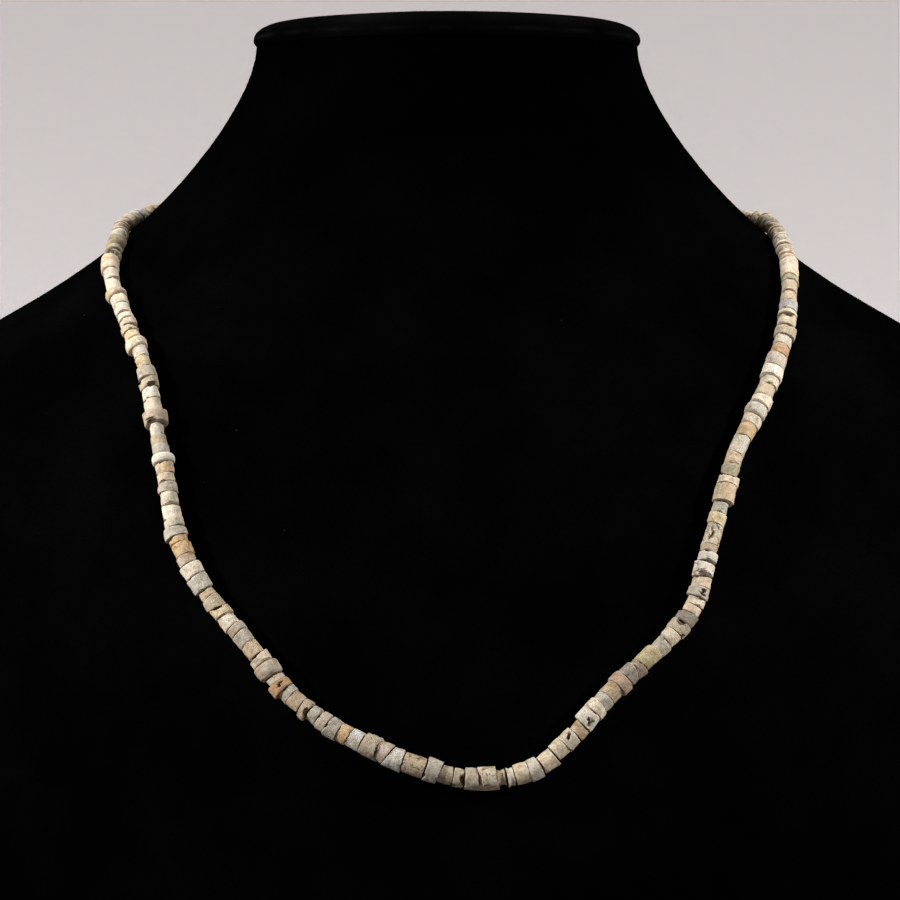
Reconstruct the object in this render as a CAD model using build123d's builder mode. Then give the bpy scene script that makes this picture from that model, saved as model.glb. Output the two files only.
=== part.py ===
from build123d import *
from math import cos, pi, radians, sin, tan
from typing import NamedTuple
import os

os.makedirs("parts", exist_ok=True)

# Neck bust, in millimetres. The front of the bust faces -Y and its flat base lies on Z = 0.
neck_height = 290.2  # top of the neck, where the cap sits
neck_width = 113.6
neck_depth = 90.0
neck_setback = 22.0  # how far the neck stands behind the middle of the base
shoulder_width = 320.0
base_depth = 188.0
section_points = 24  # points round each section of the bust

# Cap on the neck
cap_overhang = 1.0  # past the neck all round, at the widest line of the cap
cap_thickness = 7.5

# String of stone beads
shortest_bead = 1.7  # length of class a
length_step = 1.17  # each further letter is longer by this factor
narrowest_bead = 4.0  # diameter of class 0
width_step = 0.5  # each further digit is wider by this much
bead_wear = 0.06  # how far a bead's side falls away to its ends, as a share of its radius
bore = 1.8
bead_gap = 0.15  # between neighbouring beads, at their nearest
velvet_gap = 0.2  # between the widest beads and the bust
sample_length = 6.0  # between the points where the string's line is laid on the bust

# Thread
thread_width = 0.7
knot_width = 2.6
corner_share = 0.45  # of the shorter run beside each corner, taken up by its arc


class BustSection(NamedTuple):
    """One level section of the bust, in shares of the sizes above."""

    rise: float  # share of neck_height
    spread: float  # share of the way from neck_width to shoulder_width
    swell: float  # share of the way from neck_depth to base_depth
    setback: float  # share of neck_setback
    fullness: float  # 2 is an ellipse, and less draws the shoulders out into ridges


bust_sections = (
    BustSection(1.000, 0.000, 0.000, 1.000, 2.00),
    BustSection(0.948, 0.045, 0.016, 0.965, 2.00),
    BustSection(0.896, 0.136, 0.031, 0.905, 1.95),
    BustSection(0.844, 0.258, 0.051, 0.795, 1.84),
    BustSection(0.793, 0.415, 0.102, 0.640, 1.70),
    BustSection(0.741, 0.627, 0.245, 0.555, 1.62),
    BustSection(0.689, 0.855, 0.388, 0.490, 1.62),
    BustSection(0.620, 0.981, 0.551, 0.445, 1.68),
    BustSection(0.551, 1.000, 0.653, 0.327, 1.75),
    BustSection(0.448, 0.995, 0.765, 0.210, 1.82),
    BustSection(0.345, 0.971, 0.843, 0.130, 1.88),
    BustSection(0.224, 0.932, 0.914, 0.073, 1.92),
    BustSection(0.103, 0.893, 0.965, 0.027, 1.96),
    BustSection(0.000, 0.864, 1.000, 0.000, 2.00),
)


class CapSection(NamedTuple):
    """One level section of the cap: its height and its size as shares of the cap's."""

    rise: float
    size: float


cap_sections = (
    CapSection(0.00, 0.982),
    CapSection(0.12, 0.996),
    CapSection(0.27, 1.000),
    CapSection(0.50, 0.990),
    CapSection(0.70, 0.958),
    CapSection(0.85, 0.915),
    CapSection(0.95, 0.862),
    CapSection(1.00, 0.800),
)


class Stretch(NamedTuple):
    """A point of the string's course on the bust, and the beads from there to the next point."""

    bearing: float  # degrees round the bust: 0 is the front, 90 the +X side, 180 the nape
    rise: float  # share of neck_height
    beads: str  # a length letter and a width digit for each bead
    lift: float = 0.0  # extra distance off the bust where the string bridges a shoulder


# The nape comes first, then the -X side, the front, the +X side and the nape again
string_course = (
    Stretch(-180.0, 0.866, "d3 e2 f3 c2 e3 d2 f2 d3 e2"),
    Stretch(-150.0, 0.860, "e3 c2 f3 d2 e2 d3 f3"),
    Stretch(-130.0, 0.848, "e2 d3 f2 c2 e3"),
    Stretch(-116.0, 0.836, "d2 e2 c2 d2"),
    Stretch(-107.0, 0.826, "f2 d2"),
    Stretch(-103.5, 0.819, "f3 e3 f3"),
    Stretch(-97.0, 0.806, "g3 f3"),
    Stretch(-92.0, 0.792, "c3 d3"),
    Stretch(-89.7, 0.782, "e3 f3 c1"),
    Stretch(-81.8, 0.747, "f1 c4 c2 d2"),
    Stretch(-73.3, 0.710, "a1 b2 a2 b2 e5 d1 d1"),
    Stretch(-64.6, 0.659, "e3 d4 e2 f2 e6 e0"),
    Stretch(-57.7, 0.594, "d1 d2 d5 d2 d2 d3"),
    Stretch(-53.2, 0.540, "f2 f3 c4 d5 b3"),
    Stretch(-49.5, 0.4915, "f3 c3 f4 g4"),
    Stretch(-44.4, 0.449, "d1 e4 e4 f3"),
    Stretch(-39.0, 0.4135, "d3 f3 f3 e4"),
    Stretch(-33.2, 0.3785, "g6 c2 e5 d3"),
    Stretch(-28.0, 0.348, "e2 d4 d2 d3"),
    Stretch(-21.4, 0.323, "f6 e4 f3 h6"),
    Stretch(-12.3, 0.2985, "d4 g5 i5"),
    Stretch(-4.0, 0.2825, "g5 f2 e3 f5"),
    Stretch(5.5, 0.2715, "h5 c2 b4 f4"),
    Stretch(14.6, 0.2795, "f5 h4 f3"),
    Stretch(21.1, 0.3035, "g3 e2 g4"),
    Stretch(26.3, 0.333, "d4 d3 f4 e6"),
    Stretch(32.2, 0.3645, "e4 e3 i3"),
    Stretch(37.6, 0.391, "f2 e3 e5 e4"),
    Stretch(43.8, 0.426, "d2 c2 d5 e3 g5"),
    Stretch(47.7, 0.4745, "d3 b2 i2 e2"),
    Stretch(51.4, 0.520, "e1 h5 d5 d2 f2"),
    Stretch(56.7, 0.5765, "h2 f3 d3 e5 d4"),
    Stretch(64.2, 0.6315, "e3 b3 e4 f4 d3"),
    Stretch(71.0, 0.681, "d3 d4 e4 a4 d3 d2"),
    Stretch(79.8, 0.732, "d2 a2 h3 c2", 0.1),
    Stretch(89.3, 0.776, "e3 e3", 0.2),
    Stretch(93.5, 0.794, "f3 f3 e3", 0.2),
    Stretch(99.5, 0.810, "e3 e3", 0.1),
    Stretch(104.0, 0.816, "d2 e2 c2 d3 e2"),
    Stretch(116.0, 0.832, "e3 d2 f2 c2 e3"),
    Stretch(130.0, 0.848, "f3 c2 d3 e2 d2 e3 d2"),
    Stretch(150.0, 0.860, "e2 d3 e3 f2 c2 e2 d3 f3 d2"),
    Stretch(180.0, 0.866, ""),
)


def leaf_outline(width, depth, setback, fullness):
    """Return points round a section whose two ends narrow as its fullness drops below 2."""
    points = []
    for step in range(section_points):
        turn = 2 * pi * step / section_points - pi / 2
        across = abs(cos(turn)) ** (2 / fullness) * (1 if cos(turn) >= 0 else -1)
        along = abs(sin(turn)) ** (2 / fullness) * (1 if sin(turn) >= 0 else -1)
        points.append((across * width / 2, setback + along * depth / 2))
    return points


with BuildPart() as neck_bust:
    for row in bust_sections:
        width = neck_width + row.spread * (shoulder_width - neck_width)
        depth = neck_depth + row.swell * (base_depth - neck_depth)
        with BuildSketch(Plane.XY.offset(row.rise * neck_height)):
            with BuildLine():
                Spline(*leaf_outline(width, depth, row.setback * neck_setback, row.fullness), periodic=True)
            make_face()
    loft()
neck_bust.part.label = "neck_bust"

# The cap's flat underside lies face to face on the neck's flat top
with BuildPart() as neck_cap:
    for row in cap_sections:
        with BuildSketch(Plane.XY.offset(neck_height + row.rise * cap_thickness)):
            with Locations((0, neck_setback)):
                Ellipse(
                    row.size * (neck_width / 2 + cap_overhang),
                    row.size * (neck_depth / 2 + cap_overhang),
                )
    loft()
neck_cap.part.label = "neck_cap"


def bead_size(code):
    """Return the nominal length and the radius of a bead from its two-character class."""
    length = shortest_bead * length_step ** "abcdefghi".index(code[0])
    return length, (narrowest_bead + int(code[1]) * width_step) / 2


def widest_radius(index):
    """Return the radius of the widest bead in the stretches on either side of a course point."""
    nearby = string_course[index - 1].beads + " " + string_course[index].beads
    return max(bead_size(code)[1] for code in nearby.split())


def stand_off(bearing, rise, distance):
    """Return the point that stands a distance off the bust, out from a bearing and a height."""
    outward = Vector(sin(radians(bearing)), -cos(radians(bearing)), 0)
    level = Vector(0, 0, rise * neck_height)
    hits = velvet.find_intersection_points(Axis(level, outward))
    spot, normal = max(hits, key=lambda hit: (hit[0] - level).dot(outward))
    return spot + normal * distance


# The course is drawn smooth in the flat, bearing across and height up, and then laid on the bust
velvet = neck_bust.faces().sort_by(SortBy.AREA)[-1]
flat_points = [(row.bearing, row.rise * neck_height) for row in string_course]
before_nape = (flat_points[-2][0] - 360, flat_points[-2][1])
after_nape = (flat_points[1][0] + 360, flat_points[1][1])
with BuildLine() as flat_course:
    Spline(before_nape, *flat_points, after_nape)
flat_line = flat_course.edges()[0]
marks = [flat_line.param_at_point(point) for point in flat_points]
laid_points = []
mark_places = [0]  # where each course point comes in laid_points
for index, (start, end) in enumerate(zip(marks, marks[1:])):
    here, there = string_course[index], string_course[index + 1]
    nominal = sum(bead_size(code)[0] for code in here.beads.split())
    steps = max(round(nominal / sample_length), 1)
    off_here = velvet_gap + here.lift + widest_radius(index)
    off_there = velvet_gap + there.lift + widest_radius(index + 1)
    for step in range(steps):
        share = step / steps
        spot = flat_line.position_at(start + share * (end - start))
        distance = off_here + share * (off_there - off_here)
        laid_points.append(stand_off(spot.X, spot.Y / neck_height, distance))
    mark_places.append(len(laid_points))
with BuildLine() as laid_course:
    Spline(*laid_points, periodic=True)
string_line = laid_course.edges()[0]


def on_string(place):
    """Return the point at a distance along the string from the middle of the nape."""
    return string_line.position_at(place, position_mode=PositionMode.LENGTH)


# How far along the string each laid point lies
along = [0.0]
for before, after in zip(laid_points, laid_points[1:] + laid_points[:1]):
    along.append(along[-1] + (after - before).length)
along = [place * string_line.length / along[-1] for place in along]

# Each stretch is filled exactly: its beads keep their proportions and share its whole length
joints = []  # the places along the string between neighbouring beads
radii = []  # one for each bead
knot_room = knot_width / 2 + bead_gap
for index, row in enumerate(string_course[:-1]):
    start = max(along[mark_places[index]], knot_room)
    end = min(along[mark_places[index + 1]], string_line.length - knot_room)
    sizes = [bead_size(code) for code in row.beads.split()]
    stretch = (end - start) / sum(length for length, _ in sizes)
    place = start
    for length, radius in sizes:
        joints.append(place)
        radii.append(radius)
        place += length * stretch
joints.append(string_line.length - knot_room)
corners = [on_string(place) for place in joints]


def drilled_bead(start, end, radius):
    """Make one bead from end to end: a drum with softly bulging sides and a bore for the thread."""
    run = end - start
    length = run.length
    edge = radius * (1 - bead_wear)
    sideways = run.cross(Vector(0, 0, 1))
    with BuildPart() as bead:
        with BuildSketch(Plane(origin=start, x_dir=sideways, z_dir=sideways.cross(run))):
            with BuildLine():
                Polyline((edge, 0), (bore / 2, 0), (bore / 2, length), (edge, length))
                ThreePointArc((edge, length), (radius, length / 2), (edge, 0))
            make_face()
        revolve(axis=Axis(start, run))
    return bead.part


def half_turn(index):
    """Return half the angle by which the string turns at a corner, in degrees."""
    if index in (0, len(corners) - 1):
        return 0.0
    arriving = corners[index] - corners[index - 1]
    leaving = corners[index + 1] - corners[index]
    return arriving.get_angle(leaving) / 2


# Where the string turns, the ends of the beads are set back so that their rims stay clear
drums = []
for index, radius in enumerate(radii):
    run = corners[index + 1] - corners[index]
    near = bead_gap / 2 + radius * tan(radians(half_turn(index)))
    far = bead_gap / 2 + radius * tan(radians(half_turn(index + 1)))
    first = corners[index] + run.normalized() * near
    last = corners[index + 1] - run.normalized() * far
    drums.append(drilled_bead(first, last, radius))
with BuildPart() as beads:
    add(drums)
beads.part.label = "beads"

# The thread runs straight through each bead, with an arc between them, and both ends are in the knot
knot_tail = knot_width / 4
route = [on_string(knot_tail), *corners, on_string(string_line.length - knot_tail)]
arc_radii = []
for before, corner, after in zip(route, route[1:], route[2:]):
    turn = (corner - before).get_angle(after - corner)
    shorter_run = min((corner - before).length, (after - corner).length)
    arc_radii.append(corner_share * shorter_run / tan(radians(turn / 2)))
with BuildPart() as thread:
    with BuildLine() as thread_path:
        FilletPolyline(*route, radius=arc_radii)
    with BuildSketch(Plane(origin=thread_path.line @ 0, z_dir=thread_path.line % 0)):
        Circle(thread_width / 2)
    sweep()
    tube_volume = thread.part.volume
    with Locations(Plane(origin=string_line @ 0, z_dir=string_line % 0)):
        Sphere(knot_width / 2)
thread.part.label = "thread"

print(f"{len(radii)} beads on a string {string_line.length:.1f} mm long")
print(f"thread arcs {min(arc_radii):.1f} to {max(arc_radii):.1f} mm in radius")
tube_expected = pi * thread_width**2 / 4 * thread_path.wire().length
print(f"thread tube {tube_volume:.2f} mm3, section times length {tube_expected:.2f} mm3")

export_step(neck_bust.part, "parts/neck_bust.step")
export_step(neck_cap.part, "parts/neck_cap.step")
export_step(beads.part, "parts/beads.step")
export_step(thread.part, "parts/thread.step")
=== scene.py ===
import logging
from dataclasses import dataclass
from enum import Enum
from math import cos, degrees, pi, radians, sin
from typing import Callable, Sequence

import bpy
import numpy as np
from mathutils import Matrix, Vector, noise


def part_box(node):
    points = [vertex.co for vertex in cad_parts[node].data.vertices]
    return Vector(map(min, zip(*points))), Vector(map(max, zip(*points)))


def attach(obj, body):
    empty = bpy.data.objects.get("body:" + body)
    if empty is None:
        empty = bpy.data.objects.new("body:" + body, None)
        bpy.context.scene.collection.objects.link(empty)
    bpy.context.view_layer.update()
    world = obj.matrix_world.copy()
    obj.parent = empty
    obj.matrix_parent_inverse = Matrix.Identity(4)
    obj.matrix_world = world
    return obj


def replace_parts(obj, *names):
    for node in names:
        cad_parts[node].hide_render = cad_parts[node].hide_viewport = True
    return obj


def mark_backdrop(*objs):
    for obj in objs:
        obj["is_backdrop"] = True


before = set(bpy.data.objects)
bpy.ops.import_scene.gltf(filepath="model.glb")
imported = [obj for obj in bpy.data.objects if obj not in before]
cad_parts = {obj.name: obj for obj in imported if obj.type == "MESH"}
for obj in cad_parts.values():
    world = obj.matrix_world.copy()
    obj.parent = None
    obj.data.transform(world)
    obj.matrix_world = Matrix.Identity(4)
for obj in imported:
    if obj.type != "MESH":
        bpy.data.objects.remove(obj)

logging.basicConfig(level=logging.INFO, format="%(message)s")
log = logging.getLogger("necklace")

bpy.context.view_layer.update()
MM = 0.001
Colour = tuple[float, float, float]
Point = tuple[float, float, float]
Joint = tuple[np.ndarray, np.ndarray]  # where the string crosses it and the way it faces


class Stone(Enum):
    """The stones of the necklace, by the letter that the bead chart gives them."""

    CREAM = "c"
    CHALK = "w"
    GREY = "g"
    TAN = "t"
    OCHRE = "o"
    RUST = "r"
    TERRACOTTA = "p"
    JADE = "j"
    UMBER = "d"
    BLUE_WHITE = "b"
    BUTTER = "y"
    OLIVE = "l"
    ROSE = "k"
    LILAC = "v"


class Form(Enum):
    """How a bead was cut and how it has worn, by its letter in the bead chart."""

    SQUARE = "s"
    ROUNDED = "r"
    BARREL = "b"
    WEDGE = "w"
    CHIPPED = "c"
    WAISTED = "h"
    PITTED = "p"
    BROKEN = "x"
    FACETED = "f"
    DISC = "i"


class Mark(Enum):
    """What marks a bead's surface, by its sign in the bead chart."""

    PLAIN = "."
    SPECKLED = "s"
    STAINED = "o"
    CRACKED = "k"
    DIRTY = "d"


STONE_COLOURS: dict[Stone, Colour] = {
    Stone.CREAM: (0.69, 0.59, 0.44),
    Stone.CHALK: (0.75, 0.68, 0.56),
    Stone.GREY: (0.52, 0.47, 0.38),
    Stone.TAN: (0.52, 0.42, 0.29),
    Stone.OCHRE: (0.60, 0.43, 0.24),
    Stone.RUST: (0.52, 0.33, 0.18),
    Stone.TERRACOTTA: (0.50, 0.35, 0.25),
    Stone.JADE: (0.52, 0.45, 0.26),
    Stone.UMBER: (0.31, 0.26, 0.20),
    Stone.BLUE_WHITE: (0.63, 0.60, 0.53),
    Stone.BUTTER: (0.68, 0.56, 0.35),
    Stone.OLIVE: (0.44, 0.38, 0.24),
    Stone.ROSE: (0.60, 0.48, 0.38),
    Stone.LILAC: (0.50, 0.45, 0.41),
}

# One code for each bead in its order on the string: stone, form and mark.
# The run behind the neck repeats a short pattern, and the rest is read off, a line for each stretch.
NAPE_PATTERN = "cr. ws. tr. cbd gr. cc. ws. oro cr. grs"
NAPE_START = 25  # beads of the hidden run before the first one that shows
FRONT_CHART = (
    "tio wid", "wid cid kid", "wid cid", "tid lid",
    "lcd cr. ws.", "wr. tb. cr. ws.", "ws. cr. cs. yr. cb. wr. yr.", "gr. tcd ws. cr. tcd wr.",
    "tr. gr. wb. cro cr. grd", "cr. wr. cr. gsd oso", "oro kso wr. gss", "tr. twd yxo wr.",
    "gro gr. tr. cr.", "gbo cr. rpd gr.", "tr. tcd gr. gr.", "gss or. bs. tss",
    "kw. bs. tsk", "gss tr. tcd gs.", "cxk th. ch. cs.", "bs. cs. cso",
    "cpd ts. wpd", "wr. gr. tro pss", "dss dw. jf.", "gw. cr. tcd drs",
    "cr. wr. gpd cro wxk", "bs. tsd cpk yr.", "gr. ts. cs. lw. tr.", "gr. or. cr. gbs wr.",
    "tr. cs. wr. krs rr.", "grs trs cco cs. vr. tr.", "tr. lsd crd cro", "cid wid",
    "cid tid gid", "tid cid",
)


def deselect_all() -> None:
    """Leave object mode with nothing selected."""
    if bpy.context.object and bpy.context.object.mode != "OBJECT":
        bpy.ops.object.mode_set(mode="OBJECT")
    bpy.ops.object.select_all(action="DESELECT")


def edit(piece: bpy.types.Object) -> bpy.types.Mesh:
    """Make a piece the only one selected, with none of its mesh selected, and enter edit mode.

    Args:
        piece: the mesh object to shape.

    Returns:
        The piece's mesh.
    """
    deselect_all()
    piece.select_set(True)
    bpy.context.view_layer.objects.active = piece
    bpy.ops.object.mode_set(mode="EDIT")
    bpy.ops.mesh.select_all(action="DESELECT")
    return piece.data


def select_faces(mesh: bpy.types.Mesh, wanted: Callable[[bpy.types.MeshPolygon], bool]) -> None:
    """Select the faces that pass a test, in edit mode.

    Args:
        mesh: the mesh being edited.
        wanted: a function of a polygon that says whether to select it.
    """
    bpy.ops.mesh.select_mode(type="FACE")
    bpy.ops.object.mode_set(mode="OBJECT")
    for face in mesh.polygons:
        face.select = wanted(face)
    bpy.ops.object.mode_set(mode="EDIT")


def select_edges(mesh: bpy.types.Mesh, wanted: Callable[[Vector, Vector], bool]) -> None:
    """Select the edges whose two end points pass a test, in edit mode.

    Args:
        mesh: the mesh being edited.
        wanted: a function of two points that says whether to select the edge between them.
    """
    bpy.ops.mesh.select_mode(type="EDGE")
    bpy.ops.mesh.select_all(action="DESELECT")
    bpy.ops.object.mode_set(mode="OBJECT")
    for edge in mesh.edges:
        first, second = (mesh.vertices[index].co for index in edge.vertices)
        edge.select = wanted(first, second)
    bpy.ops.object.mode_set(mode="EDIT")


def finish_mesh(piece: bpy.types.Object, sharp_angle: float = 40.0) -> None:
    """Apply a finished piece's transform and shade it smooth, in object mode.

    Args:
        piece: the mesh object.
        sharp_angle: the angle in degrees above which an edge stays sharp.
    """
    deselect_all()
    piece.select_set(True)
    bpy.context.view_layer.objects.active = piece
    bpy.ops.object.transform_apply(location=True, rotation=True, scale=True)
    bpy.ops.object.shade_smooth_by_angle(angle=radians(sharp_angle))


class NodeBench:
    """Places and links the nodes of one material."""

    def __init__(self, name: str) -> None:
        """Start a material with its shader."""
        self.material = bpy.data.materials.new(name)
        self.material.use_nodes = True
        self.tree = self.material.node_tree
        self.shader = next(node for node in self.tree.nodes if node.type == "BSDF_PRINCIPLED")

    def constant(self, **values: object) -> None:
        """Set sockets of the shader, named with underscores, to constants."""
        for name, value in values.items():
            self.shader.inputs[name.replace("_", " ")].default_value = value

    def add(self, kind: str, settings: dict | None = None, **inputs: object) -> bpy.types.Node:
        """Add a node.

        Args:
            kind: the node's type name after ShaderNode.
            settings: properties of the node itself.
            inputs: sockets by name, with underscores for spaces, each a constant or a socket to link from.

        Returns:
            The new node.
        """
        node = self.tree.nodes.new("ShaderNode" + kind)
        for name, value in (settings or {}).items():
            setattr(node, name, value)
        for name, value in inputs.items():
            self.feed(node.inputs[name.replace("_", " ")], value)
        return node

    def feed(self, target: bpy.types.NodeSocket, value: object) -> None:
        """Link a socket to a target, or set the target to a constant."""
        if isinstance(value, bpy.types.NodeSocket):
            self.tree.links.new(value, target)
        else:
            target.default_value = value

    def ramp(self, factor: bpy.types.NodeSocket,
             stops: Sequence[tuple[float, float]]) -> bpy.types.NodeSocket:
        """Map a factor through grey stops.

        Args:
            factor: the socket to read.
            stops: places from 0 to 1, each with its grey value.

        Returns:
            The ramp's colour socket.
        """
        node = self.add("ValToRGB", Fac=factor)
        elements = node.color_ramp.elements
        while len(elements) < len(stops):
            elements.new(0.5)
        for element, (place, grey) in zip(elements, stops):
            element.position = place
            element.color = (grey, grey, grey, 1.0)
        return node.outputs["Color"]

    def math(self, operation: str, first: object, second: object) -> bpy.types.NodeSocket:
        """Combine two numbers.

        Args:
            operation: the Math node's operation.
            first: a socket or a number.
            second: a socket or a number.

        Returns:
            The result's socket.
        """
        node = self.add("Math", {"operation": operation})
        self.feed(node.inputs[0], first)
        self.feed(node.inputs[1], second)
        return node.outputs[0]

    def blend(self, mode: str, share: object, below: object, above: object) -> bpy.types.NodeSocket:
        """Blend two colours.

        Args:
            mode: the Mix node's blend type.
            share: how much of the upper colour shows, a socket or a number.
            below: the lower colour, a socket or four numbers.
            above: the upper colour, likewise.

        Returns:
            The result's socket.
        """
        node = self.add("Mix", {"data_type": "RGBA", "blend_type": mode, "clamp_result": True})
        self.feed(node.inputs[0], share)
        self.feed(node.inputs[6], below)
        self.feed(node.inputs[7], above)
        return node.outputs[2]

    def noise(self, place: bpy.types.NodeSocket, scale: float, detail: float = 2.0,
              roughness: float = 0.5) -> bpy.types.NodeSocket:
        """Add a noise and return its value's socket."""
        node = self.add("TexNoise", Vector=place, Scale=scale, Detail=detail, Roughness=roughness)
        return node.outputs["Fac"]

    def attribute(self, name: str, output: str = "Color") -> bpy.types.NodeSocket:
        """Read an attribute of the mesh."""
        return self.add("Attribute", {"attribute_name": name}).outputs[output]

    def object_place(self) -> bpy.types.NodeSocket:
        """Return the object coordinates' socket, in metres."""
        return self.add("TexCoord").outputs["Object"]

    def bump(self, height: bpy.types.NodeSocket, strength: float, distance: float) -> None:
        """Feed the shader's normal from a height."""
        node = self.add("Bump", Height=height, Strength=strength, Distance=distance)
        self.tree.links.new(node.outputs["Normal"], self.shader.inputs["Normal"])


@dataclass(frozen=True)
class StoneFinish:
    """Worn stone whose tint, stains, dirt, and painted shade in joints, grooves and hollows, come from each
    bead's own attributes.
    """

    name: str = "worn_stone"
    soil_and_shade: Colour = (0.075, 0.045, 0.022)
    stain: Colour = (0.80, 0.60, 0.36)
    crack: Colour = (0.10, 0.055, 0.025)
    speck: Colour = (0.16, 0.11, 0.07)
    grime: Colour = (0.60, 0.51, 0.40)
    rubbed: Colour = (0.80, 0.72, 0.58)
    glow: float = 0.0

    def build(self) -> bpy.types.Material:
        """Make the material."""
        bench = NodeBench(self.name)
        bench.constant(Specular_IOR_Level=0.32, IOR=1.54)
        place = bench.attribute("stone_place", "Vector")
        marks = bench.add("SeparateColor", Color=bench.attribute("stone_marks"))
        speckled, stained, cracked = marks.outputs[0], marks.outputs[1], marks.outputs[2]
        rubbed = bench.attribute("stone_marks", "Alpha")
        cloud = bench.noise(place, 0.42, 4.0, 0.55)
        mottle = bench.noise(place, 1.7, 4.0, 0.62)
        grain = bench.noise(place, 6.5, 2.0, 0.6)
        tint = bench.attribute("stone_tint")
        clouds = bench.ramp(cloud, ((0.28, 0.62), (0.50, 0.95), (0.68, 1.0)))
        clouded = bench.blend("MULTIPLY", 1.0, tint, clouds)
        mottles = bench.ramp(mottle, ((0.32, 0.50), (0.50, 0.90), (0.64, 1.0)))
        mottled = bench.blend("MULTIPLY", 0.9, clouded, mottles)
        stain_place = bench.ramp(bench.noise(place, 0.5, 4.0, 0.65), ((0.42, 0.0), (0.66, 1.0)))
        stain_share = bench.math("MULTIPLY", stain_place, stained)
        stained_stone = bench.blend("MULTIPLY", stain_share, mottled, (*self.stain, 1.0))
        speck_place = bench.ramp(bench.noise(place, 3.4, 2.0, 0.5), ((0.60, 0.0), (0.68, 1.0)))
        specks = bench.math("MULTIPLY", speck_place, speckled)
        grimy = bench.ramp(bench.noise(place, 0.85, 5.0, 0.7), ((0.52, 0.0), (0.72, 0.6)))
        stained_stone = bench.blend("MULTIPLY", grimy, stained_stone, (*self.grime, 1.0))
        specked = bench.blend("MIX", specks, stained_stone, (*self.speck, 1.0))
        wander = bench.add("VectorMath", {"operation": "MULTIPLY_ADD"})
        drift = bench.add("TexNoise", Vector=place, Scale=0.9, Detail=3.0)
        bench.feed(wander.inputs[0], drift.outputs["Color"])
        bench.feed(wander.inputs[1], (2.2, 2.2, 2.2))
        bench.feed(wander.inputs[2], place)
        cells = bench.add("TexVoronoi", {"feature": "DISTANCE_TO_EDGE"}, Vector=wander.outputs[0], Scale=0.34)
        crack_lines = bench.ramp(cells.outputs["Distance"], ((0.0, 1.0), (0.05, 0.6), (0.11, 0.0)))
        broken_up = bench.ramp(bench.noise(place, 0.62, 2.0), ((0.47, 0.0), (0.56, 1.0)))
        cracks = bench.math("MULTIPLY", bench.math("MULTIPLY", crack_lines, broken_up), cracked)
        cracked_stone = bench.blend("MIX", cracks, specked, (*self.crack, 1.0))
        cracked_stone = bench.blend("MIX", rubbed, cracked_stone, (*self.rubbed, 1.0))
        # Dark brown at the bead ends, in grooves and in chips and pits: dirt, and painted shade where these
        # recesses fall into shadow.
        soil_and_shade = bench.attribute("stone_soil_and_shade", "Fac")
        ragged = bench.math("ADD", bench.math("MULTIPLY", bench.noise(place, 2.6, 3.0, 0.7), 1.6), -0.8)
        torn_soil_and_shade = bench.math("ADD", soil_and_shade, bench.math("MULTIPLY", ragged, soil_and_shade))
        soil_and_shade_edge = bench.ramp(torn_soil_and_shade, ((0.12, 0.0), (0.8, 1.0)))
        colour = bench.blend("MIX", soil_and_shade_edge, cracked_stone, (*self.soil_and_shade, 1.0))
        bench.feed(bench.shader.inputs["Base Color"], colour)
        bench.feed(bench.shader.inputs["Roughness"], bench.ramp(cloud, ((0.3, 0.74), (0.7, 0.50))))
        lathe = bench.add("Mapping", Vector=place, Scale=(0.25, 0.25, 3.6)).outputs[0]
        rings = bench.noise(lathe, 1.0, 2.0, 0.6)
        height = bench.math("ADD", bench.math("MULTIPLY", mottle, 0.60), bench.math("MULTIPLY", grain, 0.30))
        height = bench.math("ADD", height, bench.math("MULTIPLY", rings, 0.45))
        height = bench.math("SUBTRACT", height, bench.math("MULTIPLY", cracks, 0.8))
        height = bench.math("SUBTRACT", height, bench.math("MULTIPLY", specks, 0.25))
        bench.bump(height, 0.7, 0.4 * MM)
        if self.glow:
            bench.constant(Subsurface_Weight=self.glow, Subsurface_Radius=(1.0, 0.8, 0.4),
                           Subsurface_Scale=0.8 * MM)
        return bench.material


@dataclass(frozen=True)
class VelvetFinish:
    """Black velvet: a deep pile with lint, and, where a height is given, a paler line there that is a painted
    highlight with some wear of the pile.
    """

    name: str = "black_velvet"
    pile: Colour = (0.0006, 0.0006, 0.0006)
    brushed: Colour = (0.0014, 0.0014, 0.0014)
    lint: Colour = (0.008, 0.008, 0.008)
    worn_highlight: Colour = (0.010, 0.0098, 0.0098)
    highlight_height: float | None = None

    def build(self) -> bpy.types.Material:
        """Make the material."""
        bench = NodeBench(self.name)
        bench.constant(Roughness=1.0, Specular_IOR_Level=0.0)
        place = bench.object_place()
        brushed = bench.ramp(bench.noise(place, 28.0, 3.0, 0.6), ((0.38, 0.0), (0.66, 1.0)))
        colour = bench.blend("MIX", brushed, (*self.pile, 1.0), (*self.brushed, 1.0))
        pile = bench.noise(place, 1500.0, 2.0, 0.7)
        colour = bench.blend("MULTIPLY", 0.7, colour, bench.ramp(pile, ((0.3, 0.4), (0.7, 1.0))))
        dots = bench.add("TexVoronoi", Vector=place, Scale=85.0, Randomness=1.0)
        few = bench.ramp(bench.noise(place, 60.0, 1.0), ((0.54, 0.0), (0.60, 1.0)))
        lint = bench.math("MULTIPLY", bench.ramp(dots.outputs["Distance"], ((0.014, 1.0), (0.034, 0.0))), few)
        colour = bench.blend("MIX", lint, colour, (*self.lint, 1.0))
        # Painted highlight: a thin, broken paler line at the given height, where the cap's widest edge
        # catches the light, with some wear of the pile.
        if self.highlight_height is not None:
            height = bench.add("SeparateXYZ", Vector=place).outputs["Z"]
            off = bench.math("ABSOLUTE", bench.math("SUBTRACT", height, self.highlight_height), 0.0)
            near = bench.ramp(bench.math("DIVIDE", off, 0.9 * MM), ((0.0, 1.0), (0.35, 0.6), (1.0, 0.0)))
            patchy = bench.ramp(bench.noise(place, 90.0, 4.0), ((0.40, 0.05), (0.62, 1.0)))
            worn_highlight = bench.math("MULTIPLY", near, patchy)
            colour = bench.blend("MIX", worn_highlight, colour, (*self.worn_highlight, 1.0))
        bench.feed(bench.shader.inputs["Base Color"], colour)
        bench.bump(pile, 0.5, 0.25 * MM)
        return bench.material


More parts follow.
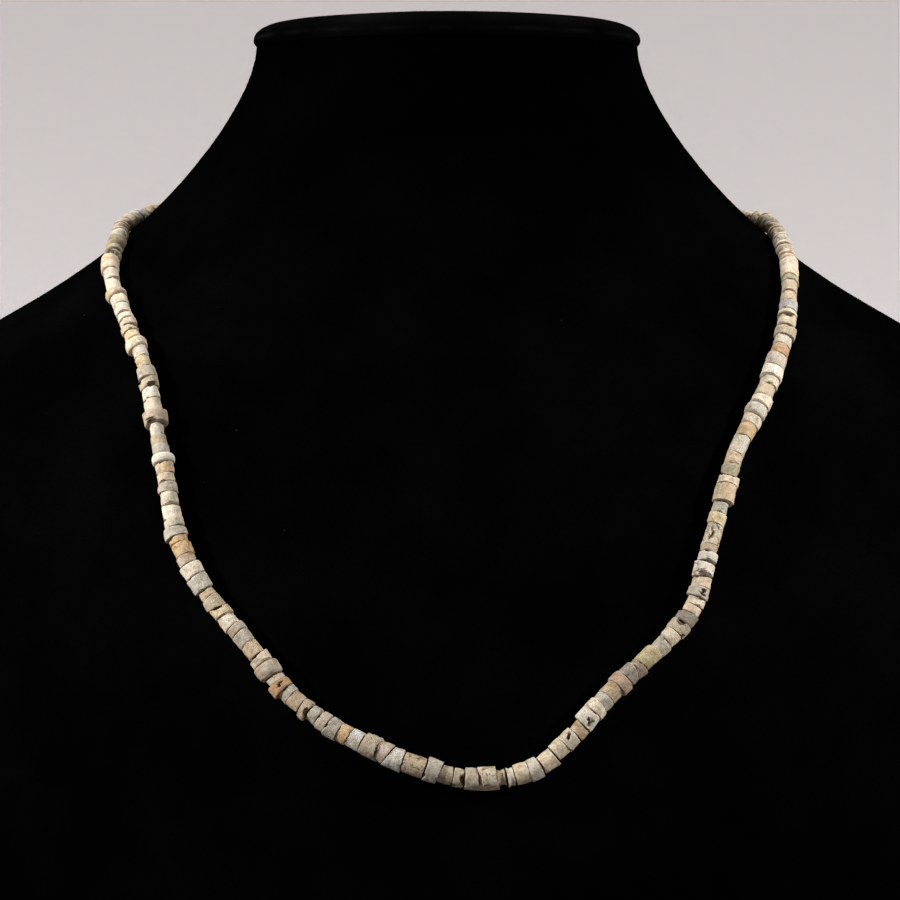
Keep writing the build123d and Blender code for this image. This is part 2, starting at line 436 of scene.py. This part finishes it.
@dataclass(frozen=True)
class CottonFinish:
    """Two-ply cotton thread, darkened with handling."""

    name: str = "cotton_thread"
    pale: Colour = (0.42, 0.34, 0.23)
    dark: Colour = (0.16, 0.11, 0.065)

    def build(self) -> bpy.types.Material:
        """Make the material."""
        bench = NodeBench(self.name)
        bench.constant(Roughness=0.9, Specular_IOR_Level=0.1, Sheen_Weight=0.15)
        place = bench.object_place()
        twist = bench.add("TexWave", {"wave_type": "BANDS", "bands_direction": "DIAGONAL"}, Vector=place,
                          Scale=620.0, Distortion=1.5, Detail=2.0)
        fibre = bench.noise(place, 5200.0, 2.0)
        colour = bench.blend("MIX", bench.ramp(twist.outputs["Fac"], ((0.2, 0.0), (0.7, 1.0))),
                             (*self.dark, 1.0), (*self.pale, 1.0))
        colour = bench.blend("MULTIPLY", 0.5, colour, bench.ramp(fibre, ((0.3, 0.5), (0.7, 1.0))))
        bench.feed(bench.shader.inputs["Base Color"], colour)
        height = bench.math("ADD", twist.outputs["Fac"], bench.math("MULTIPLY", fibre, 0.3))
        bench.bump(height, 0.6, 0.12 * MM)
        return bench.material


@dataclass(frozen=True)
class PaperFinish:
    """The studio's pale seamless paper."""

    name: str = "studio_paper"
    colour: Colour = (0.46, 0.43, 0.43)

    def build(self) -> bpy.types.Material:
        """Make the material."""
        bench = NodeBench(self.name)
        bench.constant(Roughness=0.95, Specular_IOR_Level=0.1)
        tooth = bench.noise(bench.object_place(), 900.0, 2.0)
        fine = bench.ramp(tooth, ((0.3, 0.6), (0.7, 1.0)))
        colour = bench.blend("MULTIPLY", 0.03, (*self.colour, 1.0), fine)
        bench.feed(bench.shader.inputs["Base Color"], colour)
        return bench.material


@dataclass(frozen=True)
class BeadSeat:
    """Where one bead of the model lies, in metres: the middle, the string's direction and the sizes."""

    centre: np.ndarray
    axis: np.ndarray
    length: float
    radius: float

    @property
    def bearing(self) -> float:
        """Return the angle round the bust, from the nape at -pi past the front at 0."""
        return float(np.arctan2(self.centre[0], -self.centre[1]))


@dataclass(frozen=True)
class BeadCode:
    """One bead's entry in the chart."""

    stone: Stone
    form: Form
    mark: Mark

    @classmethod
    def read(cls, code: str) -> "BeadCode":
        """Read a three-sign code."""
        return cls(Stone(code[0]), Form(code[1]), Mark(code[2]))


@dataclass(frozen=True)
class Bite:
    """A chip or a pit: its place on the bead, its size and its depth, in millimetres and radians."""

    turn: float
    place: float  # -0.5 at one end of the bead, 0.5 at the other
    wide: float
    long: float
    deep: float
    pull: float = 0.0  # how far a chip draws the end of the bead in


def unit(vector: np.ndarray) -> np.ndarray:
    """Return a vector of length 1 the same way."""
    return vector / np.linalg.norm(vector)


def smooth_step(value: np.ndarray) -> np.ndarray:
    """Ease from 0 to 1 over the same range."""
    share = np.clip(value, 0.0, 1.0)
    return share * share * (3.0 - 2.0 * share)


@dataclass
class BeadMasters:
    """Beads of radius 1 and length 1, modelled once, with a bore right through."""

    sides: int = 34
    bore: float = 0.34
    rings: int = 8
    rims: tuple[float, float, float] = (0.022, 0.05, 0.11)

    def build(self) -> list[bpy.types.Object]:
        """Model one master for each rim width, from square-cut to well rounded.

        Returns:
            The masters, in the order of rims.
        """
        return [self.turned(f"bead_master_{index}", rim) for index, rim in enumerate(self.rims)]

    def turned(self, name: str, rim: float) -> bpy.types.Object:
        """Model a drum: ends inset and bridged into a bore, rims bevelled, side cut into rings.

        Args:
            name: the object's name.
            rim: how far the rims are bevelled, as a share of the radius.

        Returns:
            The master.
        """
        deselect_all()
        bpy.ops.mesh.primitive_cylinder_add(vertices=self.sides, radius=1.0, depth=1.0,
                                            end_fill_type="NGON")
        master = bpy.context.object
        master.name = name
        mesh = edit(master)
        select_faces(mesh, lambda face: abs(face.normal.z) > 0.9)
        middle = (1.0 - rim + self.bore) / 2.0
        bpy.ops.mesh.inset(thickness=1.0 - middle)
        bpy.ops.mesh.inset(thickness=middle - self.bore)
        bpy.ops.mesh.bridge_edge_loops()
        on_rim = 0.98
        select_edges(mesh, lambda a, b: min(a.xy.length, b.xy.length) > on_rim and a.z * b.z > 0.0
                     and abs(a.z - b.z) < 0.01)
        bpy.ops.mesh.bevel(offset=rim, offset_type="OFFSET", segments=3, profile=0.5, affect="EDGES")
        select_edges(mesh, lambda a, b: min(a.xy.length, b.xy.length) > on_rim and a.z * b.z < 0.0)
        bpy.ops.mesh.subdivide(number_cuts=self.rings)
        bpy.ops.object.mode_set(mode="OBJECT")
        return master


@dataclass
class BeadString:
    """The whole string: a detailed bead for each loose solid of the CAD node."""

    node: str = "beads"
    strands: int = 4
    bore: float = 0.9  # radius, in millimetres, as all the sizes below
    joint_gap: float = 0.02
    rim_soil_and_shade: float = 0.6  # share of dirt and painted shade at the joints
    rim_width: float = 0.22
    end_tilt: float = 0.15  # the most that a bead's end leans from its neighbour's, as a slope
    end_wave: float = 0.1
    roughness: float = 0.13
    play: float = 0.38  # sideways on the thread
    joint_lean: tuple[float, float] = (0.03, 0.16)  # least and most, as a slope
    wedge_lean: float = 2.2  # times that, beside a wedge
    plain_lean: float = 0.8  # times that, elsewhere
    shoulder_bearing: float = 97.0  # degrees from the front, on either side
    shoulder_reach: float = 14.0
    shoulder_fade: float = 6.0
    shoulder_lean: float = 1.6  # added to plain_lean on a shoulder
    shoulder_wave: float = 2.5  # how many times more the ends wave there
    shoulder_gap: float = 0.14  # how much wider the joints stand open there
    shoulder_press: float = 0.45  # how far the beads sink into the velvet there
    grooved_from: float = 2.4  # length from which a bead there has a groove round its middle
    groove_deep: float = 0.95
    groove_reach: float = 0.14  # half the groove's width, as a share of the bead's length
    groove_shade: float = 0.8  # share of painted shade in the groove
    seed: int = 41

    def codes(self, count: int) -> list[BeadCode]:
        """Read the chart and fill the hidden runs with the pattern.

        Args:
            count: how many beads the string has.

        Returns:
            One code for each bead.
        """
        front = [code for row in FRONT_CHART for code in row.split()]
        pattern = NAPE_PATTERN.split()
        after = count - NAPE_START - len(front)
        before = [pattern[index % len(pattern)] for index in range(NAPE_START)]
        behind = [pattern[(index + 3) % len(pattern)] for index in range(after)]
        return [BeadCode.read(code) for code in before + front + behind]

    def seats(self) -> list[BeadSeat]:
        """Read the place and the sizes of each bead from the loose solids of the CAD node.

        Returns:
            The seats in their order on the string, from the nape round the -X side and back.
        """
        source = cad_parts[self.node].data
        count = len(source.vertices)
        points = np.empty(count * 3)
        source.vertices.foreach_get("co", points)
        points = points.reshape(-1, 3)
        source.calc_loop_triangles()
        triangles = np.empty(len(source.loop_triangles) * 3, dtype=np.int64)
        source.loop_triangles.foreach_get("vertices", triangles)
        triangles = triangles.reshape(-1, 3)
        _, merged = np.unique(np.round(points / (0.002 * MM)).astype(np.int64), axis=0, return_inverse=True)
        merged = merged.reshape(-1)
        group = np.arange(merged.max() + 1)
        corners = merged[triangles]
        while True:
            lowest = group[corners].min(axis=1)
            fresh = group.copy()
            for corner in range(3):
                np.minimum.at(fresh, corners[:, corner], lowest)
            fresh = fresh[fresh]
            if np.array_equal(fresh, group):
                break
            group = fresh
        owner = group[corners[:, 0]]
        found = [points[triangles[owner == label]] for label in np.unique(owner)]
        middles = [(solid.min(axis=(0, 1)) + solid.max(axis=(0, 1))) / 2 for solid in found]
        order = sorted(range(len(found)), key=lambda bead: np.arctan2(middles[bead][0], -middles[bead][1]))
        seats = []
        for place, index in enumerate(order):
            before = middles[order[place - 1]]
            after = middles[order[(place + 1) % len(order)]]
            seats.append(self.seat(found[index], unit(after - before)))
        return seats

    def seat(self, solid: np.ndarray, along: np.ndarray) -> BeadSeat:
        """Measure one bead: the axis from its flat ends, the length and the radius from its points.

        Args:
            solid: the bead's triangles, with three points each.
            along: the rough direction of the string there.

        Returns:
            Where the bead lies, and its sizes.
        """
        normals = np.cross(solid[:, 1] - solid[:, 0], solid[:, 2] - solid[:, 0])
        toward = normals @ along
        flat = np.abs(toward) > 0.85 * np.linalg.norm(normals, axis=1)
        axis = unit((normals[flat] * np.sign(toward[flat])[:, None]).sum(axis=0))
        points = solid.reshape(-1, 3)
        heights = points @ axis
        across = points - np.outer(heights, axis)
        middle = (across.min(axis=0) + across.max(axis=0)) / 2
        radius = float(np.linalg.norm(across - middle, axis=1).max())
        centre = middle + axis * (heights.min() + heights.max()) / 2
        return BeadSeat(centre, axis, float(heights.max() - heights.min()), radius)

    def on_shoulder(self, seat: BeadSeat) -> float:
        """Say how far a bead lies on the turn of the string over a shoulder, from 0 to 1."""
        away = abs(abs(degrees(seat.bearing)) - self.shoulder_bearing)
        return float(smooth_step(np.array((self.shoulder_reach - away) / self.shoulder_fade)))

    def bites(self, form: Form, dice: np.random.Generator, radius: float, length: float,
              front: float) -> list[Bite]:
        """Return the chips and pits of a bead.

        Args:
            form: how the bead was cut and worn.
            dice: the bead's own seeded numbers.
            radius: the bead's radius in millimetres.
            length: its length in millimetres.
            front: the angle round the bore at which its front lies.

        Returns:
            Small random nicks for all beads, and the large marks that the form calls for.
        """
        found = []
        for _ in range(dice.integers(2, 7)):
            end = dice.choice((-0.5, 0.5))
            found.append(Bite(dice.uniform(-pi, pi), end, dice.uniform(0.4, 1.3), dice.uniform(0.2, 0.55),
                              dice.uniform(0.08, 0.30), dice.uniform(0.0, 0.3)))
        near = front + dice.uniform(-0.5, 0.5)
        if form is Form.CHIPPED:
            found.append(Bite(near, 0.5, radius * 0.7, length * 0.4, 0.55, 0.5))
            found.append(Bite(near + dice.uniform(0.9, 1.5), -0.5, radius * 0.4, length * 0.35, 0.45, 0.3))
        if form is Form.BROKEN:
            found.append(Bite(front + 0.1, -0.5, radius * 0.85, length * 0.25, 0.2, 1.0))
        if form is Form.PITTED:
            for _ in range(4):
                found.append(Bite(near + dice.uniform(-0.3, 0.3), dice.uniform(-0.32, 0.32), radius * 0.22,
                                  length * dice.uniform(0.1, 0.2), dice.uniform(0.5, 0.9)))
        return found

    def profile(self, form: Form, turn: np.ndarray, place: np.ndarray,
                dice: np.random.Generator) -> np.ndarray:
        """Shape the bead's side.

        Args:
            form: how the bead was cut and worn.
            turn: the angle of each point round the bore.
            place: where each point lies along the bead, from -0.5 to 0.5.
            dice: the bead's own seeded numbers.

        Returns:
            The share of the full radius that the side has at each point.
        """
        share = 1.0 - 0.015 * (2 * place) ** 2
        if form is Form.BARREL:
            share = 1.01 - 0.09 * (2 * place) ** 2
        if form is Form.DISC:
            share = 1.02 - 0.34 * np.abs(2 * place) ** 2.2
        if form is Form.WAISTED:
            share = 0.86 + 0.14 * np.abs(2 * place) ** 1.5
        if form is Form.FACETED:
            flats = 7
            slice_turn = (turn + 0.3) % (2 * pi / flats) - pi / flats
            share = share * (0.35 + 0.65 * np.cos(pi / flats) / np.cos(slice_turn))
        share = share * dice.uniform(0.93, 1.03)
        oval = dice.uniform(0.015, 0.05)
        lump = dice.uniform(0.008, 0.025)
        share = share * (1 + oval * np.cos(2 * (turn - dice.uniform(0, pi))) - oval / 2)
        share = share * (1 + lump * np.cos(3 * (turn - dice.uniform(0, pi)) + 2 * place))
        taper = dice.uniform(0.10, 0.18) if form is Form.WEDGE else dice.uniform(-0.09, 0.09)
        return share * (1 + taper * place)

    def shape(self, copy: bpy.types.Object, seat: BeadSeat, code: BeadCode, ends: Sequence[Joint],
              index: int) -> None:
        """Give one copy of a master its own form and place, and the attributes that its stone reads.

        Args:
            copy: the copy, with its own mesh.
            seat: where the bead lies.
            code: its entry in the chart.
            ends: the joint before the bead and the joint after it.
            index: the bead's number on the string.
        """
        dice = np.random.default_rng(self.seed + index)
        mesh = copy.data
        count = len(mesh.vertices)
        flat = np.empty(count * 3)
        mesh.vertices.foreach_get("co", flat)
        unit_points = flat.reshape(-1, 3)
        radial = np.hypot(unit_points[:, 0], unit_points[:, 1])
        turn = np.arctan2(unit_points[:, 1], unit_points[:, 0])
        place = unit_points[:, 2]
        master_bore = radial.min()
        radius, length = seat.radius / MM, seat.length / MM
        depth = np.clip((radial - master_bore) / (1.0 - master_bore), 0.0, 1.0)
        full = radius * self.profile(code.form, turn, place, dice)
        out = self.bore + depth * (full - self.bore)
        shoulder = self.on_shoulder(seat)
        groove = shoulder * depth * np.clip(1.0 - np.abs(place) / self.groove_reach, 0.0, 1.0)
        if length < self.grooved_from:
            groove = np.zeros(count)
        out = out - self.groove_deep * groove
        # Painted shade in the groove round a shoulder bead's middle.
        soil_and_shade = self.groove_shade * groove
        inward = np.zeros(count)
        outward = unit(np.array([seat.centre[0], seat.centre[1], 0.0]))
        x_way = unit(outward - seat.axis * (outward @ seat.axis))
        y_way = np.cross(seat.axis, x_way)
        front = float(np.arctan2(-y_way[1], -x_way[1]))
        for bite in self.bites(code.form, dice, radius, length, front):
            aside = ((turn - bite.turn + pi) % (2 * pi) - pi) * radius
            ahead = (place - bite.place) * length
            ragged = np.array([noise.noise((3.1 * index, 2.2 * t, 1.7 * p))
                               for t, p in zip(turn, place * length)])
            reach = np.hypot(aside / bite.wide, ahead / max(bite.long, 0.2)) + 0.35 * ragged
            weight = smooth_step((1.0 - reach) / 0.45) * depth
            out = out - bite.deep * weight
            inward = inward - np.sign(bite.place) * bite.pull * weight
            # Darker in each chip and pit: dirt and painted shade in the hollow.
            soil_and_shade = np.maximum(soil_and_shade, weight * min(bite.deep * 1.1, 0.75))
        rough = np.array([noise.noise((u[0] * 2.6 + 7.0 * index, u[1] * 2.6, u[2] * 0.8 * length))
                          for u in unit_points])
        out = out + depth * rough * self.roughness
        x, y = out * np.cos(turn), out * np.sin(turn)
        tops = []
        for point, way in ends:
            local_point = (point - seat.centre) / MM
            slope_x, slope_y = way @ x_way / (way @ seat.axis), way @ y_way / (way @ seat.axis)
            height = local_point @ seat.axis
            height = height + slope_x * (local_point @ x_way) + slope_y * (local_point @ y_way)
            tops.append(height - slope_x * x - slope_y * y)
        share = place + 0.5
        ends_z = []
        gap = self.joint_gap + self.shoulder_gap * shoulder
        end_wave = self.end_wave * (1 + self.shoulder_wave * shoulder)
        for side, top in zip((1.0, -1.0), tops):
            lean, lean_turn = dice.uniform(0.0, 1.0) ** 3 * self.end_tilt, dice.uniform(-pi, pi)
            tilted = lean * (radius - x * np.cos(lean_turn) - y * np.sin(lean_turn))
            wave = np.array([noise.noise((1.1 * cos(t), 1.1 * sin(t), 5.0 * index + side)) for t in turn])
            ends_z.append(top + side * (gap + tilted + end_wave * (0.5 + 0.5 * wave) * depth))
        z = (1 - share) * ends_z[0] + share * ends_z[1] + inward
        nestled = dice.uniform(-0.3, 0.3) * self.play - shoulder * self.shoulder_press
        shift = dice.uniform(-self.play, self.play) * (1 - shoulder) * y_way + nestled * x_way
        local = np.outer(x, x_way) + np.outer(y, y_way) + np.outer(z, seat.axis)
        world = seat.centre + MM * (local + shift)
        mesh.vertices.foreach_set("co", world.reshape(-1))
        near_end = smooth_step((np.abs(place) - 0.5) * length / self.rim_width + 1.0)
        # Darker at each end, the more so towards the bore: dirt in the joint and painted shade between
        # neighbouring beads.
        inner = 0.15 + 0.85 * (1 - depth)
        soil_and_shade = np.maximum(soil_and_shade, near_end * self.rim_soil_and_shade * inner * dice.uniform(0.2, 1.0))
        self.write_attributes(mesh, code, np.column_stack([x, y, z]), soil_and_shade, near_end * depth, dice, index)

    def write_attributes(self, mesh: bpy.types.Mesh, code: BeadCode, local: np.ndarray, soil_and_shade: np.ndarray,
                         rim: np.ndarray, dice: np.random.Generator, index: int) -> None:
        """Store what the stone reads: tint, marks, dirt with painted shade, rubbed rims and the bead's own
        coordinates.

        Args:
            mesh: the bead's mesh.
            code: its entry in the chart.
            local: its points in millimetres from its middle.
            soil_and_shade: how dark each point is, from 0 to 1, with dirt and with painted shade in joints,
                grooves and hollows.
            rim: how far each point lies on a rim, from 0 to 1.
            dice: the bead's own seeded numbers.
            index: its number on the string, which keeps its pattern apart from the others.
        """
        count = len(mesh.vertices)
        tint = np.ones((count, 4))
        shade = dice.uniform(0.90, 1.08)
        warmth = dice.uniform(-0.04, 0.04)
        tint[:, :3] = np.array(STONE_COLOURS[code.stone]) * shade * np.array([1 + warmth, 1.0, 1 - warmth])
        marks = np.ones((count, 4))
        marks[:, 0] = 0.85 if code.mark is Mark.SPECKLED else dice.uniform(0.0, 0.25)
        marks[:, 1] = 1.0 if code.mark is Mark.STAINED else dice.uniform(0.2, 0.8)
        marks[:, 2] = 1.0 if code.mark is Mark.CRACKED else dice.choice((0.0, 0.0, 0.25))
        marks[:, 3] = rim * dice.uniform(0.0, 0.35)
        if code.mark is Mark.DIRTY:
            soil_and_shade = np.clip(soil_and_shade * 1.6, 0.0, 0.95)
            marks[:, 0] = 0.5
        own_place = local + np.array([37.0 * index, 11.0 * (index % 7), 5.0 * (index % 11)])
        for name, values in (("stone_tint", tint), ("stone_marks", marks)):
            layer = mesh.attributes.new(name, "FLOAT_COLOR", "POINT")
            layer.data.foreach_set("color", values.reshape(-1))
        layer = mesh.attributes.new("stone_place", "FLOAT_VECTOR", "POINT")
        layer.data.foreach_set("vector", own_place.reshape(-1))
        layer = mesh.attributes.new("stone_soil_and_shade", "FLOAT", "POINT")
        layer.data.foreach_set("value", soil_and_shade)

    def joints(self, seats: Sequence[BeadSeat], codes: Sequence[BeadCode]) -> list[Joint]:
        """Return the joint before each bead, a little askew, and more so beside a wedge or on a shoulder.

        Args:
            seats: where the beads lie, in their order on the string.
            codes: their entries in the chart.

        Returns:
            One joint for each bead. The first is not used, since the knot takes its place.
        """
        dice = np.random.default_rng(self.seed)
        found = []
        for index, seat in enumerate(seats):
            before = seats[index - 1]
            wedged = Form.WEDGE in (codes[index].form, codes[index - 1].form)
            first = before.centre + before.axis * before.length / 2
            second = seat.centre - seat.axis * seat.length / 2
            way = unit(before.axis + seat.axis)
            lean = unit(np.cross(way, dice.normal(size=3)))
            plain = self.plain_lean + self.shoulder_lean * self.on_shoulder(seat)
            times = self.wedge_lean if wedged else plain
            way = unit(way + lean * dice.uniform(*self.joint_lean) * times)
            found.append(((first + second) / 2, way))
        return found

    def build(self) -> list[bpy.types.Object]:
        """Make the detailed beads and join them into strands.

        Returns:
            The strands, each riding on the body and standing for the node.
        """
        masters = BeadMasters().build()
        stone, jade = StoneFinish().build(), StoneFinish(name="jade_stone", glow=0.35).build()
        seats = self.seats()
        codes = self.codes(len(seats))
        log.info("%d beads on the string, %d codes", len(seats), len(codes))
        joints = self.joints(seats, codes)
        knot = [(seats[0].centre - seats[0].axis * seats[0].length / 2, seats[0].axis),
                (seats[-1].centre + seats[-1].axis * seats[-1].length / 2, seats[-1].axis)]
        rim_of = {Form.SQUARE: 0, Form.CHIPPED: 0, Form.BROKEN: 0, Form.BARREL: 2, Form.DISC: 2}
        groups: list[list[bpy.types.Object]] = [[] for _ in range(self.strands)]
        for index, (seat, code) in enumerate(zip(seats, codes)):
            master = masters[rim_of.get(code.form, 1)]
            copy = master.copy()
            copy.data = master.data.copy()
            bpy.context.collection.objects.link(copy)
            start = knot[0] if index == 0 else joints[index]
            end = knot[1] if index == len(seats) - 1 else joints[index + 1]
            self.shape(copy, seat, code, (start, end), index)
            copy.data.materials.append(jade if code.stone is Stone.JADE else stone)
            groups[index * self.strands // len(seats)].append(copy)
        for master in masters:
            bpy.data.objects.remove(master)
        return [self.join(group, f"bead_strand_{number}") for number, group in enumerate(groups, start=1)]

    def join(self, group: list[bpy.types.Object], name: str) -> bpy.types.Object:
        """Join one strand's beads into a piece.

        Args:
            group: the beads.
            name: the piece's name.

        Returns:
            The piece, which stands for the node.
        """
        deselect_all()
        for bead in group:
            bead.select_set(True)
        bpy.context.view_layer.objects.active = group[0]
        bpy.ops.object.join()
        strand = bpy.context.object
        strand.name = name
        finish_mesh(strand, 34.0)
        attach(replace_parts(strand, self.node), "root")
        return strand


@dataclass
class NeckBust:
    """The velvet bust: its CAD body, dressed, and the covered cap on the neck."""

    body_node: str = "neck_bust"
    cap_node: str = "neck_cap"
    highlight_share: float = 0.27  # of the cap's height, its widest line, where a paler line is painted as a highlight with some wear of the pile
    unevenness: float = 0.7  # millimetres
    # The cap's velvet is painted paler than the body's: painted sheen where the cap catches the light.
    cap_sheen_pile: Colour = (0.0026, 0.0026, 0.0026)
    cap_sheen_brushed: Colour = (0.006, 0.006, 0.006)
    # How far up the side, then the height and the width there, as shares of the cap's
    profile: tuple[tuple[float, float, float], ...] = (
        (0.00, 0.00, 0.982), (0.10, 0.12, 0.996), (0.20, 0.27, 1.000), (0.35, 0.50, 0.990),
        (0.50, 0.70, 0.958), (0.65, 0.85, 0.915), (0.80, 0.95, 0.862), (1.00, 1.00, 0.800),
    )
    segments: int = 160
    top_rings: tuple[float, ...] = (3.0, 5.0, 7.0, 9.0, 10.0)  # widths in millimetres, from the edge in
    sag_from: float = 0.6  # of the cap's height

    def dress(self) -> bpy.types.Object:
        """Give the CAD body its velvet."""
        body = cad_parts[self.body_node]
        velvet = VelvetFinish().build()
        for slot in body.material_slots:
            slot.material = velvet
        return body

    def cap(self) -> bpy.types.Object:
        """Model the covered cap: a disc drawn oval, domed at the top, with a paler line painted all round its
        widest part as a highlight with some wear of the pile.
        """
        low, high = (np.array(corner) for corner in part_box(self.cap_node))
        middle, half = (low + high) / 2, (high - low) / 2
        deselect_all()
        bpy.ops.mesh.primitive_cylinder_add(vertices=self.segments, radius=1.0, depth=2.0,
                                            end_fill_type="NGON", location=tuple(middle))
        cap = bpy.context.object
        cap.name = "cap_cover"
        cap.scale = tuple(half)
        deselect_all()
        cap.select_set(True)
        bpy.ops.object.transform_apply(location=False, rotation=False, scale=True)
        mesh = edit(cap)
        select_faces(mesh, lambda face: face.normal.z > 0.9)
        for width in self.top_rings:
            bpy.ops.mesh.inset(thickness=width * MM)
        select_edges(mesh, lambda a, b: a.z * b.z < 0.0)
        bpy.ops.mesh.subdivide(number_cuts=15)
        bpy.ops.object.mode_set(mode="OBJECT")
        self.round_over(cap, half)
        finish_mesh(cap, 50.0)
        highlight_line = float(low[2] + self.highlight_share * 2 * half[2])
        velvet = VelvetFinish("cap_velvet", self.cap_sheen_pile, self.cap_sheen_brushed, highlight_height=highlight_line)
        cap.data.materials.append(velvet.build())
        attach(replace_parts(cap, self.cap_node), "root")
        return cap

    def round_over(self, cap: bpy.types.Object, half: np.ndarray) -> None:
        """Give the cap's side its rounded profile and its top the slight unevenness of stretched velvet.

        Args:
            cap: the cap, with its middle at the origin of its mesh.
            half: half its sizes in metres.
        """
        steps, heights, widths = zip(*self.profile)
        for vertex in cap.data.vertices:
            share = (vertex.co.z + half[2]) / (2 * half[2])
            ring = Vector((vertex.co.x / half[0], vertex.co.y / half[1])).length
            width = float(np.interp(share, steps, widths))
            vertex.co.x *= width
            vertex.co.y *= width
            vertex.co.z = (2 * float(np.interp(share, steps, heights)) - 1) * half[2]
            if share > self.sag_from:
                sag = 0.5 + 0.9 * noise.noise((vertex.co.x * 21, vertex.co.y * 21, 0.4))
                near_top = (share - self.sag_from) / (1.0 - self.sag_from)
                vertex.co.z -= max(sag, 0.0) * self.unevenness * MM * near_top * min(1.4 - 0.6 * ring, 1.0)


@dataclass
class Studio:
    """The pale paper sweep, the soft lights and the camera of the photograph."""

    camera_place: Point = (0.0009, -1.4, 0.170)
    lens: float = 190.55
    target: Point = (0.0, 0.0, 0.19)
    lamp_radius: float = 0.08
    paper_width: float = 8.0
    paper_middle: Point = (0.0, -0.4, -0.0002)
    wall_height: float = 3.0
    wall_turn: float = 0.9  # radius of the turn from floor to wall
    air: Colour = (1.0, 0.92, 0.82)
    air_strength: float = 0.03
    lit: bpy.types.Collection | None = None  # what the key beams light

    def sweep(self) -> bpy.types.Object:
        """Model the floor and the back wall as one sheet of paper with a rounded turn."""
        deselect_all()
        bpy.ops.mesh.primitive_plane_add(size=self.paper_width, location=self.paper_middle)
        sweep = bpy.context.object
        sweep.name = "paper_sweep"
        mesh = edit(sweep)
        far = self.paper_width / 2 - 0.5
        select_edges(mesh, lambda a, b: min(a.y, b.y) > far)
        bpy.ops.mesh.extrude_region_move(TRANSFORM_OT_translate={"value": (0.0, 0.0, self.wall_height)})
        select_edges(mesh, lambda a, b: min(a.y, b.y) > far and max(a.z, b.z) < 0.1)
        bpy.ops.mesh.bevel(offset=self.wall_turn, segments=16, affect="EDGES")
        finish_mesh(sweep, 60.0)
        sweep.data.materials.append(PaperFinish().build())
        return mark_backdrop(sweep)

    def hang(self, lamp: bpy.types.Light, place: Point, aim: Point, power: float) -> bpy.types.Object:
        """Place a lamp and turn it to a point.

        Args:
            lamp: the lamp's data.
            place: where it hangs, in metres.
            aim: the point that it faces.
            power: its power in watts.

        Returns:
            The lamp's object.
        """
        lamp.energy = power
        holder = bpy.data.objects.new(lamp.name, lamp)
        holder.location = place
        holder.rotation_euler = (Vector(aim) - Vector(place)).to_track_quat("-Z", "Y").to_euler()
        bpy.context.collection.objects.link(holder)
        return holder

    def light(self, name: str, place: Point, size: float, power: float, aim: Point | None = None) -> None:
        """Hang one softbox.

        Args:
            name: the lamp's name.
            place: where it hangs, in metres.
            size: the length of its side in metres.
            power: its power in watts.
            aim: the point that it faces, or the necklace if none is given.
        """
        lamp = bpy.data.lights.new(name, "AREA")
        lamp.shape = "SQUARE"
        lamp.size = size
        self.hang(lamp, place, aim or self.target, power)

    def beam(self, name: str, place: Point, aim: Point, width: float, power: float) -> None:
        """Hang one round lamp whose beam fades out towards its edge and lights the object alone.

        Args:
            name: the lamp's name.
            place: where it hangs, in metres.
            aim: the point that it faces.
            width: the beam's full width in degrees.
            power: its power in watts.
        """
        lamp = bpy.data.lights.new(name, "SPOT")
        lamp.shadow_soft_size = self.lamp_radius
        lamp.spot_size = radians(width)
        lamp.spot_blend = 1.0
        self.hang(lamp, place, aim, power).light_linking.receiver_collection = self.lit

    def build(self) -> None:
        """Set up the paper, the lights, the world and the camera."""
        self.lit = bpy.data.collections.new("lit_by_keys")
        self.sweep()
        self.beam("key_left", (-1.16, -0.47, 0.72), (-0.17, -0.06, 0.19), 16.5, 142.0)
        self.beam("key_right", (1.16, -0.50, 0.72), (0.18, -0.06, 0.20), 13.5, 138.0)
        self.light("top_light", (0.0, -0.45, 1.1), 0.20, 0.7)
        self.light("overhead", (0.0, 0.9, 2.2), 1.4, 64.0)
        self.light("paper_light_left", (-0.7, 2.4, 0.30), 0.5, 14.0, aim=(-0.4, 3.4, 0.25))
        self.light("paper_light_right", (0.7, 2.4, 0.30), 0.5, 14.0, aim=(0.4, 3.4, 0.25))
        world = bpy.data.worlds.new("studio_air")
        world.use_nodes = True
        background = world.node_tree.nodes["Background"]
        background.inputs["Color"].default_value = (*self.air, 1.0)
        background.inputs["Strength"].default_value = self.air_strength
        bpy.context.scene.world = world
        bpy.context.scene.view_settings.view_transform = "Standard"
        lens = bpy.data.cameras.new("camera")
        lens.lens = self.lens
        lens.sensor_width = 36.0
        lens.sensor_fit = "HORIZONTAL"
        lens.clip_start = 0.05
        lens.clip_end = 20.0
        camera = bpy.data.objects.new("camera", lens)
        camera.location = self.camera_place
        camera.rotation_euler = (pi / 2, 0.0, 0.0)
        bpy.context.collection.objects.link(camera)
        bpy.context.scene.camera = camera


def dress_thread() -> None:
    """Give the CAD thread its cotton."""
    cotton = CottonFinish().build()
    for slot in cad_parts["thread"].material_slots:
        slot.material = cotton


def main() -> None:
    """Build the studio and each piece."""
    studio = Studio()
    studio.build()
    bust = NeckBust()
    dress_thread()
    # The key beams light the object alone, so that they leave no pool on the paper
    for piece in (bust.dress(), bust.cap(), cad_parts["thread"], *BeadString().build()):
        studio.lit.objects.link(piece)
        log.info("%s: %d faces", piece.name, len(piece.data.polygons))


if __name__ == "__main__":
    main()
